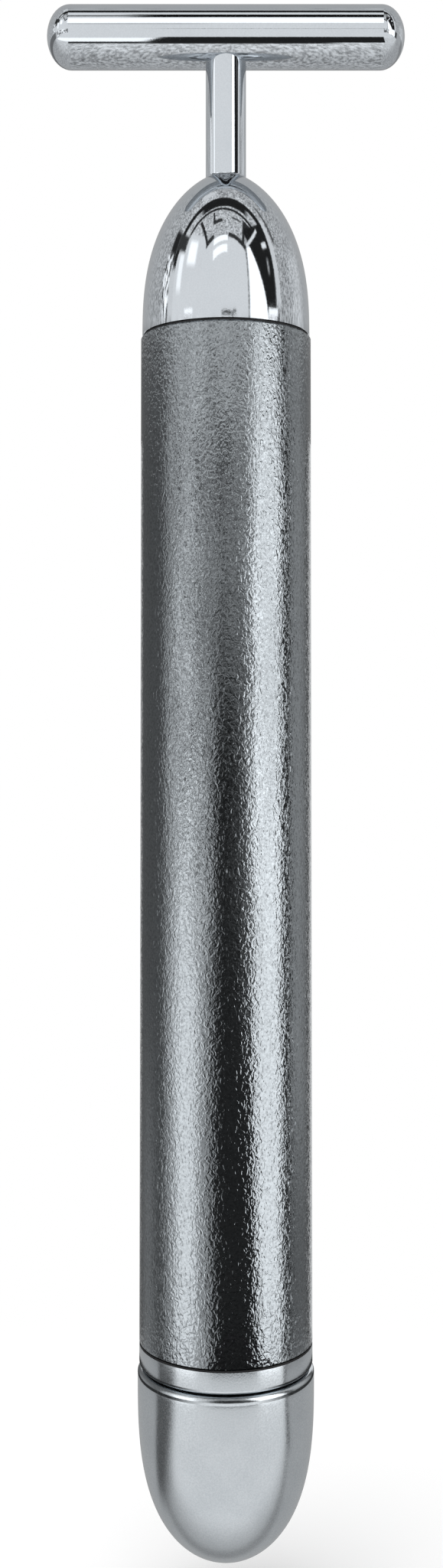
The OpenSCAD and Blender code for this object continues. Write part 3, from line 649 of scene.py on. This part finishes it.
def plated(name, dark, light, rough_low, rough_high, grain, grain_depth):
    """Metal with a faint grain: colour and gloss vary in soft clouds, the relief is the grain."""
    cloud = 4 * mm
    material, tree = empty_material(name)
    place = place_on(tree)
    clouds = noise(tree, place, cloud, detail=3)
    fine = noise(tree, place, grain, detail=2)
    colour = tones(tree, mixed(tree, 0.6, clouds, fine), dark, light)
    roughness = ramp_of(tree, fine, 0.3, 0.7, rough_low, rough_high)
    surfaced(tree, principled(tree, Metallic=1.0), colour, roughness, relief(tree, fine, grain_depth))
    return material


polished_chrome = plated("polished_chrome", (0.80, 0.85, 0.90), (0.86, 0.91, 0.96), 0.03, 0.06,
                         grain=0.16 * mm, grain_depth=0.0006 * mm)
head.data.materials.append(polished_chrome)
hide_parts("t_head")
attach(head, "handle")


# Motor: a drawn and zinc-plated steel can with a moulded end bell
# Two flats keep the can from turning in its holder. The white end bell snaps into
# the can's open end and carries the brushes.
def dress(material, *nodes):
    """A CAD piece keeps its shape and gets a finished surface."""
    for name in nodes:
        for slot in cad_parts[name].material_slots:
            slot.material = material


def moulded(name, dark, light, rough, grain=0.15 * mm, depth=0.004 * mm):
    """Plastic or rubber with the fine texture of its mould."""
    cloud = 5 * mm
    rough_spread = 0.06
    material, tree = empty_material(name)
    place = place_on(tree)
    specks = noise(tree, place, grain, detail=3)
    clouds = noise(tree, place, cloud, detail=2)
    colour = tones(tree, clouds, dark, light)
    roughness = ramp_of(tree, specks, 0.3, 0.7, rough - rough_spread, rough + rough_spread)
    surfaced(tree, principled(tree, Specular_IOR_Level=0.45), colour, roughness, relief(tree, specks, depth))
    return material


motor_steel = plated("motor_steel", (0.33, 0.34, 0.35), (0.42, 0.43, 0.45), 0.24, 0.36,
                     grain=0.18 * mm, grain_depth=0.0015 * mm)
white_plastic = moulded("white_plastic", (0.75, 0.75, 0.71), (0.82, 0.82, 0.78), 0.42)
dress(motor_steel, "motor_can")
dress(white_plastic, "motor_end_bell", "cell_seal_washer")


# Motor magnets: two ferrite arcs
# Pressed and sintered dark powder, ground to size and glued inside the can.
ferrite = moulded("ferrite", (0.026, 0.026, 0.028), (0.045, 0.045, 0.048), 0.6,
                  grain=0.08 * mm, depth=0.006 * mm)
dress(ferrite, "motor_magnets")


# Motor bearings: two sintered bronze bushes
# One is pressed into the can's nose and one into the end bell; oil sits in their pores.
bronze = plated("bronze", (0.42, 0.24, 0.09), (0.55, 0.34, 0.15), 0.32, 0.48,
                grain=0.09 * mm, grain_depth=0.006 * mm)
dress(bronze, "motor_bearings")


# Motor shaft: ground steel
# The grinding leaves fine rings round it. Armature, commutator and weight are pressed on.
def lined(name, dark, light, rough_low, rough_high, stretch, line, depth):
    """Metal with fine lines from grinding, drawing or rolling, along the axis that is stretched."""
    material, tree = empty_material(name)
    lines = noise(tree, stretched(tree, place_on(tree), stretch), line, detail=3)
    colour = tones(tree, lines, dark, light)
    roughness = ramp_of(tree, lines, 0.3, 0.7, rough_low, rough_high)
    surfaced(tree, principled(tree, Metallic=1.0), colour, roughness, relief(tree, lines, depth))
    return material


ground_steel = lined("ground_steel", (0.50, 0.51, 0.53), (0.62, 0.63, 0.65), 0.14, 0.24,
                     stretch=(0.02, 0.02, 1), line=0.06 * mm, depth=0.001 * mm)
dress(ground_steel, "motor_shaft")


# Armature core: a stack of thin iron sheets
# Each sheet is punched, varnished and pressed on the shaft, so its edge shows as a fine band.
sheet_h = 0.35 * mm
varnish = (0.04, 0.035, 0.03, 1)
stacked_iron, tree = empty_material("stacked_iron")
place = place_on(tree)
x, y, z = node(tree, "ShaderNodeSeparateXYZ", {0: place}).outputs
stack = math_of(tree, "SINE", math_of(tree, "MULTIPLY", z, 2 * math.pi / sheet_h))
rust = noise(tree, place, 0.8 * mm, detail=3)
edges = ramp_of(tree, stack, -1.0, -0.7)
iron = node(tree, "ShaderNodeMix", {
    "Factor": edges, "A": varnish, "B": tones(tree, rust, (0.10, 0.10, 0.11), (0.17, 0.17, 0.18)),
}, data_type="RGBA").outputs["Result"]
surfaced(tree, principled(tree, Metallic=1.0), iron, ramp_of(tree, rust, 0.3, 0.7, 0.36, 0.5),
         relief(tree, edges, 0.03 * mm))
dress(stacked_iron, "armature_core")


# Armature windings: three coils of enamelled copper wire
# They are wound tight round the core's teeth and their ends are soldered to the commutator.
wire = 0.12 * mm
wave_span = 0.314
wound_copper, tree = empty_material("wound_copper")
wires = node(tree, "ShaderNodeTexWave", {
    "Vector": place_on(tree), "Scale": wave_span / wire, "Distortion": 0.4, "Detail": 1.0,
}, wave_type="BANDS", bands_direction="DIAGONAL").outputs["Fac"]
# The copper's colour is darker where the relief is low, in the grooves between the turns: painted shade.
surfaced(tree, principled(tree, Metallic=0.85, Coat_Weight=0.5),
         tones(tree, wires, (0.22, 0.06, 0.02), (0.56, 0.19, 0.06), 0.1, 0.7),
         ramp_of(tree, wires, 0, 1, 0.4, 0.26), relief(tree, wires, 0.04 * mm))
dress(wound_copper, "armature_windings")


# Commutator: copper segments
# They are turned true on the shaft; the brushes polish a ring round them.
turned_copper = lined("turned_copper", (0.45, 0.17, 0.06), (0.62, 0.27, 0.11), 0.18, 0.30,
                      stretch=(0.03, 0.03, 1), line=0.05 * mm, depth=0.001 * mm)
dress(turned_copper, "commutator")


# Brushes of the motor and the strip that brings the current up from the collar
# Both are stamped from thin spring brass; the strip lies in a groove of the liner.
rolled_brass = lined("rolled_brass", (0.50, 0.32, 0.08), (0.62, 0.42, 0.13), 0.18, 0.30,
                     stretch=(1, 1, 0.04), line=0.10 * mm, depth=0.001 * mm)
dress(rolled_brass, "motor_brushes", "negative_strip")


# Eccentric weight: a half-round block on the motor's shaft
# It is pressed and sintered from heavy metal powder, then pushed on the shaft.
heavy_metal = plated("heavy_metal", (0.20, 0.195, 0.185), (0.28, 0.27, 0.25), 0.34, 0.5,
                     grain=0.10 * mm, grain_depth=0.006 * mm)
dress(heavy_metal, "eccentric_weight")


# Two leads between contact carrier and motor
# Fine stranded copper in soft red and black insulation, soldered at both ends.
red_cover = moulded("red_cover", (0.42, 0.010, 0.008), (0.52, 0.016, 0.012), 0.38,
                    grain=0.3 * mm, depth=0.003 * mm)
black_cover = moulded("black_cover", (0.010, 0.010, 0.011), (0.018, 0.018, 0.02), 0.38,
                      grain=0.3 * mm, depth=0.003 * mm)
dress(red_cover, "red_lead")
dress(black_cover, "black_lead")


# Motor holder and liner tube: moulded black plastic
# The holder clips round the motor's flats and is screwed under the dome. The liner stands
# between it and the collar and keeps the cell off the sleeve.
black_plastic = moulded("black_plastic", (0.012, 0.012, 0.013), (0.020, 0.020, 0.022), 0.5,
                        grain=0.2 * mm, depth=0.008 * mm)
dress(black_plastic, "motor_holder", "liner_tube")


# Two screws that fix the holder in the head
# Cold-headed steel, zinc plated, with rolled threads.
zinc_steel = plated("zinc_steel", (0.40, 0.41, 0.43), (0.50, 0.51, 0.53), 0.22, 0.36,
                    grain=0.12 * mm, grain_depth=0.003 * mm)
dress(zinc_steel, "holder_screws")


# Contact carrier and its button contact
# A moulded cream disc stands on a step in the liner; the stamped contact is pressed through it.
cream_plastic = moulded("cream_plastic", (0.70, 0.64, 0.50), (0.79, 0.74, 0.60), 0.45)
nickel_plate = plated("nickel_plate", (0.50, 0.48, 0.42), (0.60, 0.575, 0.51), 0.16, 0.28,
                      grain=0.12 * mm, grain_depth=0.001 * mm)
dress(cream_plastic, "contact_carrier")
dress(nickel_plate, "positive_contact", "cell_positive_button", "cell_negative_plate", "cap_contact_plate")


# Dry cell: a nickel-plated steel can in plain green shrink wrap
# The can is deep-drawn; the wrap is shrunk on and turned in over both its ends.
cell_steel = lined("cell_steel", (0.42, 0.42, 0.43), (0.52, 0.52, 0.53), 0.20, 0.30,
                   stretch=(1, 1, 0.03), line=0.2 * mm, depth=0.001 * mm)
shrink_wrap = moulded("shrink_wrap", (0.018, 0.062, 0.040), (0.028, 0.082, 0.056), 0.28,
                      grain=1.2 * mm, depth=0.02 * mm)
dress(cell_steel, "cell_can")
dress(shrink_wrap, "cell_wrap")


# Contact spring: hard-drawn steel wire, nickel plated
# It is wound as a cone, snaps over the dimple of the cap's contact plate and presses on the cell.
spring_wire = plated("spring_wire", (0.56, 0.56, 0.54), (0.66, 0.66, 0.64), 0.16, 0.26,
                     grain=0.10 * mm, grain_depth=0.001 * mm)
dress(spring_wire, "cap_contact_spring")


# Sealing washer between dome and sleeve
# A thin black rubber ring, cut flat and squeezed, that shows as a fine dark line.
gasket_in = 7.86 * mm
gasket_out = gasket_high.x
gasket_edge = 0.06 * mm
outline = [
    (gasket_in, gasket_low.z), (gasket_out - gasket_edge, gasket_low.z),
    (gasket_out, gasket_low.z + gasket_edge), (gasket_out, gasket_high.z - gasket_edge),
    (gasket_out - gasket_edge, gasket_high.z), (gasket_in, gasket_high.z),
]
gasket = turned("rubber_gasket", outline)
black_rubber = moulded("black_rubber", (0.012, 0.012, 0.013), (0.022, 0.022, 0.024), 0.6)
gasket.data.materials.append(black_rubber)
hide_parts("head_gasket")
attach(gasket, "handle")


# Sleeve: drawn aluminium tube, finely blasted and anodised dark grey
# Pushed over the liner between collar and washer, with a small chamfer at both ends.
sleeve_low, sleeve_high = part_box("handle_sleeve")
sleeve_r = sleeve_high.x
sleeve_bore = 7.9 * mm
chamfer = 0.15 * mm
outline = [
    (sleeve_bore, sleeve_low.z), (sleeve_r - chamfer, sleeve_low.z), (sleeve_r, sleeve_low.z + chamfer),
    (sleeve_r, sleeve_high.z - chamfer), (sleeve_r - chamfer, sleeve_high.z), (sleeve_bore, sleeve_high.z),
]
sleeve = turned("grip_sleeve", outline)

hammer_size = 0.36 * mm
hammer_depth = 0.055 * mm
pit_size = 0.24 * mm
grain_size = 0.13 * mm
grain_depth = 0.0015 * mm
anodised, tree = empty_material("grey_anodised")
place = place_on(tree)
hammer = noise(tree, stretched(tree, place, (1, 1, 0.7)), hammer_size, detail=1, distortion=1.0)
pits = noise(tree, place, pit_size, detail=2, roughness=0.6)
grain = noise(tree, place, grain_size, detail=2)
colour = tones(tree, pits, (0.315, 0.338, 0.357), (0.455, 0.491, 0.517), 0.33, 0.59)
shape = relief(tree, grain, grain_depth, under=relief(tree, hammer, hammer_depth))
surfaced(tree, principled(tree, Metallic=1.0), colour, ramp_of(tree, grain, 0.3, 0.7, 0.05, 0.10), shape)
sleeve.data.materials.append(anodised)
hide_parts("handle_sleeve")
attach(sleeve, "handle")


# Collar: satin chrome on turned brass
# Its skirt is glued in the sleeve, its ring shows below it, and the cap screws on its threaded neck.
def thread(name, buried_r, crest_r, first_z, turns, pitch, root_w, crest_w):
    """One right-hand ridge, drawn as its cross section and swept up the helix."""
    steps_per_turn = 96
    parts = 4
    section = [
        (buried_r, -root_w / 2), (crest_r, -crest_w / 2),
        (crest_r, crest_w / 2), (buried_r, root_w / 2),
    ]
    made = drawn(name, [(r, first_z + z) for r, z in section + section[:1]])
    bpy.ops.object.mode_set(mode="OBJECT")
    sweep = made.modifiers.new("sweep", "SCREW")
    sweep.axis = "Z"
    sweep.iterations = parts
    sweep.angle = 2 * math.pi * turns / parts
    sweep.screw_offset = pitch * turns / parts
    sweep.steps = round(steps_per_turn * turns / parts)
    sweep.render_steps = sweep.steps
    bpy.ops.object.modifier_apply(modifier="sweep")
    bpy.ops.object.mode_set(mode="EDIT")
    bpy.ops.mesh.select_all(action="SELECT")
    bpy.ops.mesh.remove_doubles(threshold=same_point)
    bpy.ops.mesh.select_all(action="DESELECT")
    bpy.ops.mesh.select_non_manifold(extend=False, use_wire=False, use_boundary=True,
                                     use_multi_face=False, use_non_contiguous=False, use_verts=False)
    bpy.ops.mesh.edge_face_add()
    bpy.ops.mesh.select_all(action="SELECT")
    bpy.ops.mesh.normals_make_consistent(inside=False)
    bpy.ops.object.mode_set(mode="OBJECT")
    bpy.ops.object.shade_smooth_by_angle(angle=sharp_edge)
    return made


def joined(name, *parts):
    bpy.ops.object.select_all(action="DESELECT")
    for part in parts:
        part.select_set(True)
    bpy.context.view_layer.objects.active = parts[0]
    bpy.ops.object.join()
    made = bpy.context.object
    made.name = name
    made.data.name = name
    return made


pitch = 1.5 * mm
ridge_root = 0.75 * mm
ridge_crest = 0.35 * mm
collar_low, collar_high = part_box("threaded_collar")
ring_low, ring_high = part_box("cap_seal_ring")
bore = 7.3 * mm
neck_r = 7.7 * mm
neck_z = collar_low.z
neck_thread_z = neck_z + 0.525 * mm
neck_thread_turns = 3.233
neck_buried_r = 7.6 * mm
neck_crest_r = 8.05 * mm
collar_z = sleeve_low.z - 2.3 * mm
collar_edge = 0.45 * mm
skirt_r = 7.85 * mm
seal_mid = (ring_low.z + ring_high.z) / 2
groove_r = 7.6 * mm
groove_h = 0.6 * mm
seam_z = sleeve_low.z - 0.17 * mm
seam_r = sleeve_r - 0.25 * mm
outline = [
    (bore, neck_z), (neck_r, neck_z), (neck_r, seal_mid - groove_h / 2),
    (groove_r, seal_mid - groove_h / 2), (groove_r, seal_mid + groove_h / 2),
    (neck_r, seal_mid + groove_h / 2), (neck_r, collar_z),
]
outline += arc(sleeve_r - collar_edge, collar_z + collar_edge, collar_edge, -90, 0, 10)
outline += [
    (sleeve_r, seam_z), (seam_r, seam_z), (seam_r, sleeve_low.z),
    (skirt_r, sleeve_low.z), (skirt_r, collar_high.z), (bore, collar_high.z),
]
collar_body = turned("collar_body", outline)
collar_thread = thread("collar_thread", neck_buried_r, neck_crest_r, neck_thread_z, neck_thread_turns,
                       pitch, ridge_root, ridge_crest)
collar = joined("collar", collar_body, collar_thread)

satin_chrome = plated("satin_chrome", (0.70, 0.75, 0.79), (0.83, 0.88, 0.92), 0.14, 0.20,
                      grain=0.16 * mm, grain_depth=0.004 * mm)
collar.data.materials.append(satin_chrome)
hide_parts("threaded_collar")
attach(collar, "handle")


# Black ring that fills the notch in the seam between collar and sleeve, flush with the sleeve.
# It is painted shade: it stands for the dark gap where the two parts meet.
seam_shade_r = sleeve_r - 0.03 * mm
seam_shade = turned("seam_shade_ring", [
    (seam_r, seam_z), (seam_shade_r, seam_z), (seam_shade_r, sleeve_low.z), (seam_r, sleeve_low.z),
])
painted_seam_shade = moulded("painted_seam_shade", (0.005, 0.005, 0.006), (0.010, 0.010, 0.011), 0.6)
seam_shade.data.materials.append(painted_seam_shade)
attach(seam_shade, "handle")


# Seal ring in the neck's groove
# A moulded black rubber ring that keeps water out of the thread.
seal_section = (ring_high.z - ring_low.z) / 2
seal_r = groove_r + seal_section
seal_sides = 16
last_side = 360 - 360 / seal_sides
seal = turned("seal_ring", arc(seal_r, seal_mid, seal_section, 0, last_side, seal_sides - 1))
seal.data.materials.append(black_rubber)
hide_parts("cap_seal_ring")
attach(seal, "handle")


# End cap: satin chrome on pressed and threaded brass
# It screws on the collar's neck; the last turn home presses the cell on its contacts.
cap_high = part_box("end_cap")[1]
cap_r = cap_high.x
cap_mouth = cap_high.z + 0.1 * mm
cap_edge = 0.5 * mm
cap_fullness = 3.03
cap_roundness = 2.04
cap_bore = 8.15 * mm
cap_mouth_z = 11.55 * mm
cap_waist = 7.45 * mm
cap_waist_z = 9.85 * mm
cap_seat = 5.8 * mm
cap_seat_z = 5.5 * mm
cap_thread_z = neck_z + 1.275 * mm
cap_thread_turns = 2.733
cap_buried_r = 8.25 * mm
cap_crest_r = 7.8 * mm
side_len = cap_high.z - 0.4 * mm
cap_side = [(shell_r(cap_r, side_len, cap_fullness, cap_roundness, h), side_len - h)
            for h in crowded(side_len, outline_steps)]
cap_rim = arc(cap_r - cap_edge, cap_mouth - cap_edge, cap_edge, 0, 90, 8)
outline = [
    (0, cap_seat_z), (cap_seat, cap_seat_z), (cap_seat, cap_waist_z), (cap_waist, cap_waist_z),
    (cap_waist, cap_mouth_z), (cap_bore, cap_mouth_z), (cap_bore, cap_mouth),
]
outline += cap_rim[::-1] + cap_side[1:]
cap_body = turned("cap_body", outline, closed=False)
cap_thread = thread("cap_thread", cap_buried_r, cap_crest_r, cap_thread_z, cap_thread_turns,
                    pitch, ridge_root, ridge_crest)
cap = joined("screw_cap", cap_body, cap_thread)
cap.data.materials.append(satin_chrome)
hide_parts("end_cap")
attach(cap, "cap")
